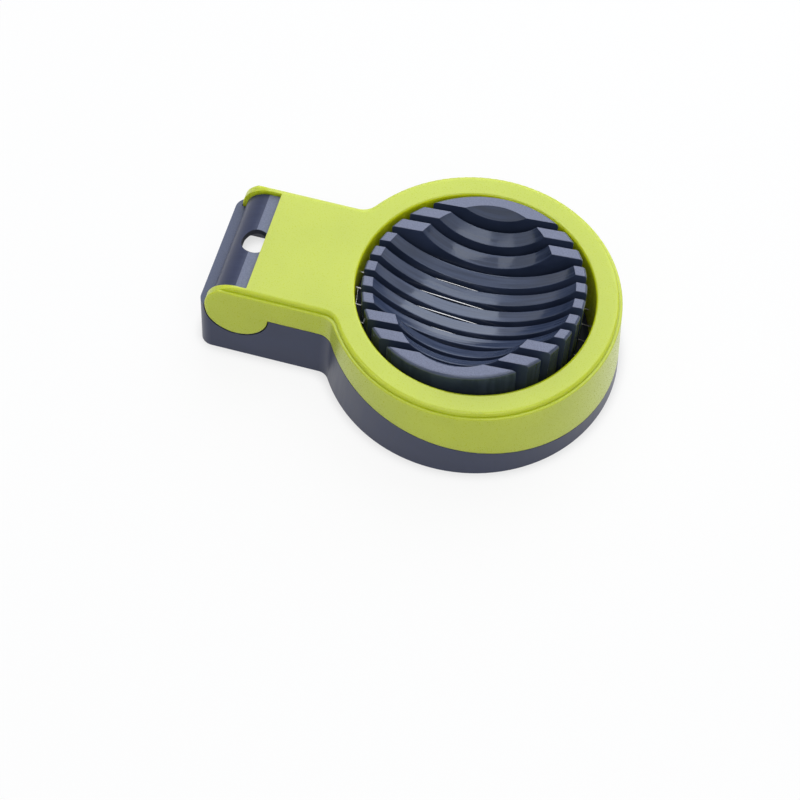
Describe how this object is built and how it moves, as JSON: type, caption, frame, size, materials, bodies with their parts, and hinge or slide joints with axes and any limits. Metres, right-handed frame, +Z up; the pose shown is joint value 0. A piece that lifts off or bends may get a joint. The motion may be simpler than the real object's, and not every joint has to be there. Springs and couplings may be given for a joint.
{
  "type": "egg slicer",
  "caption": "Hand egg slicer: a dark keyhole base with a ribbed round cradle, and a hinged lime green ring lid strung with parallel steel cutting wires.",
  "frame": {"origin": "middle of the closed slicer's bounding box, on the surface it stands on", "axes": "+Z up; the handle points towards -X and the round head lies towards +X; the wires run along X and the hinge axis along Y"},
  "size_m": [0.1266, 0.0918, 0.0353],
  "materials": {
    "base_plastic": "moulded slate grey plastic, satin flats and glossier hollows",
    "lid_plastic": "moulded lime green plastic, fine satin",
    "wire_steel": "drawn stainless wire, bright",
    "pin_steel": "turned stainless steel",
    "screw_steel": "plated steel screws"
  },
  "bodies": {
    "base": {"base_shell": "base_plastic", "cradle": "base_plastic", "hinge_pin_left": "pin_steel", "hinge_pin_right": "pin_steel"},
    "lid": {"lid_cover": "lid_plastic", "wire_clamp_ring": "lid_plastic", "clamp_screws": "screw_steel", "wire_01": "wire_steel", "wire_02": "wire_steel", "wire_03": "wire_steel", "wire_04": "wire_steel", "wire_05": "wire_steel", "wire_06": "wire_steel", "wire_07": "wire_steel", "wire_08": "wire_steel", "wire_09": "wire_steel", "wire_10": "wire_steel"}
  },
  "joints": [
    {"name": "lid_hinge", "type": "hinge", "parent": "base", "child": "lid", "pos_m": [-0.05122, 0, 0.01895], "axis": [0, -1, 0], "range_deg": [0, 92]}
  ]
}
